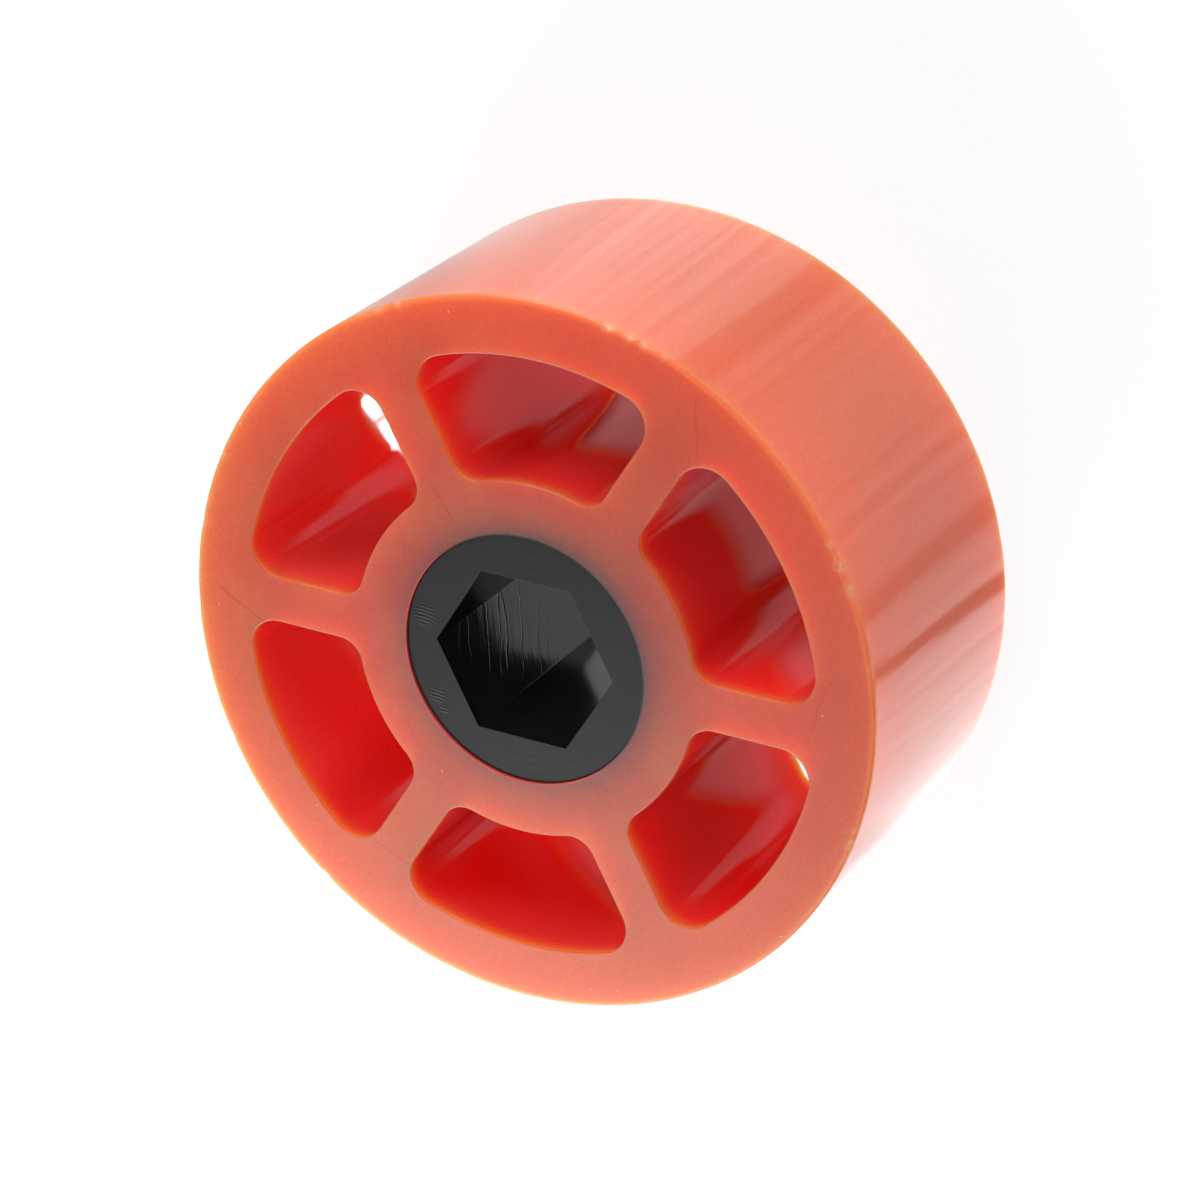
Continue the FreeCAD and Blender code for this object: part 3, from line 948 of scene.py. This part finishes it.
painted_reflection = product(tree, painted_reflection, sloped(tree, uneven, PAINTED_STREAK_SHARE, 1.0))

# What each ray meets: white for the camera, painted glow and bands for mirrors, soft light under the wheel.
under = maths(tree, "LESS_THAN", from_axle, GLOW_RADIUS)
round_about = product(tree, maths(tree, "SUBTRACT", 1, under), painted_reflection)
mirrored = maths(tree, "ADD", product(tree, under, below), round_about)
seen = maths(tree, "MAXIMUM", path["Is Camera Ray"], path["Is Transmission Ray"])
other = maths(tree, "SUBTRACT", maths(tree, "SUBTRACT", 1, seen), path["Is Glossy Ray"])
lit = product(tree, other, maths(tree, "LESS_THAN", from_axle, BACK_LIGHT_RADIUS))
strength = sloped(tree, path["Is Glossy Ray"], mirrored, product(tree, seen, WHITE))
strength = sloped(tree, lit, BACK_LIGHT, strength)
white = tree.nodes.new("ShaderNodeEmission")
tree.links.new(strength, white.inputs["Strength"])
shown = maths(tree, "ADD", product(tree, seen, WHITE_SHARE), maths(tree, "ADD", path["Is Glossy Ray"], lit))
mix = tree.nodes.new("ShaderNodeMixShader")
tree.links.new(shown, mix.inputs[0])
tree.links.new(table_top.outputs[0], mix.inputs[1])
tree.links.new(white.outputs[0], mix.inputs[2])
tree.links.new(mix.outputs[0], tree.nodes["Material Output"].inputs["Surface"])
floor.active_material.cycles.emission_sampling = "NONE"

# Light: a pale dome all round, as in a white tent, which shows white to the camera. Three square soft boxes
# stand about the wheel: one beyond it, one before it and a weak one at its side.

DOME_LEVEL = 0.30
BACKDROP_WHITE = 1.0

world = bpy.data.worlds.new("studio")
bpy.context.scene.world = world
world.use_nodes = True
tree = world.node_tree
dome = tree.nodes["Background"]
dome.inputs["Color"].default_value = (1, 1, 1, 1)
dome.inputs["Strength"].default_value = DOME_LEVEL
backdrop = tree.nodes.new("ShaderNodeBackground")
backdrop.inputs["Strength"].default_value = BACKDROP_WHITE
path = tree.nodes.new("ShaderNodeLightPath").outputs
mix = tree.nodes.new("ShaderNodeMixShader")
tree.links.new(path["Is Camera Ray"], mix.inputs[0])
tree.links.new(dome.outputs[0], mix.inputs[1])
tree.links.new(backdrop.outputs[0], mix.inputs[2])
tree.links.new(mix.outputs[0], tree.nodes["World Output"].inputs["Surface"])


def direction_at(azimuth, elevation):
    """The direction at an azimuth and an elevation in degrees: cos a cos e, sin a cos e, sin e."""
    a, e = math.radians(azimuth), math.radians(elevation)
    return Vector((math.cos(a) * math.cos(e), math.sin(a) * math.cos(e), math.sin(e)))


def soft_box(name, azimuth, elevation, distance, size, power):
    """A square soft box that faces the wheel from a direction given as angles in degrees."""
    lamp = bpy.data.lights.new(name, "AREA")
    lamp.shape = "SQUARE"
    lamp.size = size
    lamp.energy = power
    box = bpy.data.objects.new(name, lamp)
    toward = direction_at(azimuth, elevation)
    box.location = toward * distance
    box.rotation_euler = toward.to_track_quat("Z", "Y").to_euler()
    bpy.context.scene.collection.objects.link(box)


soft_box("key_box", azimuth=105, elevation=22, distance=0.7, size=0.45, power=3.15)
soft_box("fill_box", azimuth=252, elevation=33, distance=0.7, size=0.5, power=4.05)
soft_box("side_box", azimuth=30, elevation=12, distance=0.7, size=0.5, power=0.5)

# Camera: above the wheel's upper face, at the photograph's angle, and rolled, so that the wheel stands in
# the picture as it does on its shaft.

CAMERA_ELEVATION = 54.5
CAMERA_ROLL = math.radians(128.4)
CAMERA_DISTANCE = 0.2935
CAMERA_LENS = 113.8
CAMERA_NEAR = 0.01

camera = bpy.data.objects.new("camera", bpy.data.cameras.new("camera"))
bpy.context.scene.collection.objects.link(camera)
bpy.context.scene.camera = camera
camera.data.lens = CAMERA_LENS
camera.data.clip_start = CAMERA_NEAR
toward_camera = direction_at(VIEW_AZIMUTH, CAMERA_ELEVATION)
upright = (-toward_camera).to_track_quat("-Z", "Y").to_matrix()
roll = Matrix.Rotation(-CAMERA_ROLL, 3, "Z")
camera.rotation_euler = (upright @ roll).to_euler()
camera.location = (body_low + body_high) / 2 + toward_camera * CAMERA_DISTANCE
bpy.context.scene.view_settings.view_transform = "Standard"

bpy.context.view_layer.update()
